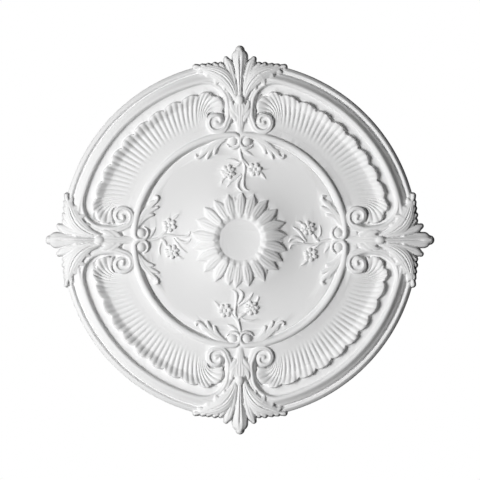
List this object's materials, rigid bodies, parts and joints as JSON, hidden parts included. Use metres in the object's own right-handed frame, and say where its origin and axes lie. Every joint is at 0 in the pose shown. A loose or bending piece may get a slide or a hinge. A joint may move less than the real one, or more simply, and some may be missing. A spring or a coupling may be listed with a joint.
{
  "type": "ceiling rose",
  "caption": "Round moulded ceiling rose with a plain rim, scrolled frame, fluted shell panels, leafy palmettes, flower sprays and a central sunflower.",
  "frame": {"origin": "centre of the flat back, on the ceiling's plane", "axes": "+Z out of the flat back, up into the ceiling, so the relief faces down; +X and +Y point at two of the four palmettes"},
  "size_m": [0.7, 0.7, 0.05],
  "materials": {
    "primed_foam": "matt white primer on hard moulded foam"
  },
  "bodies": {
    "root": {"ceiling_rose": "primed_foam"}
  },
  "joints": []
}
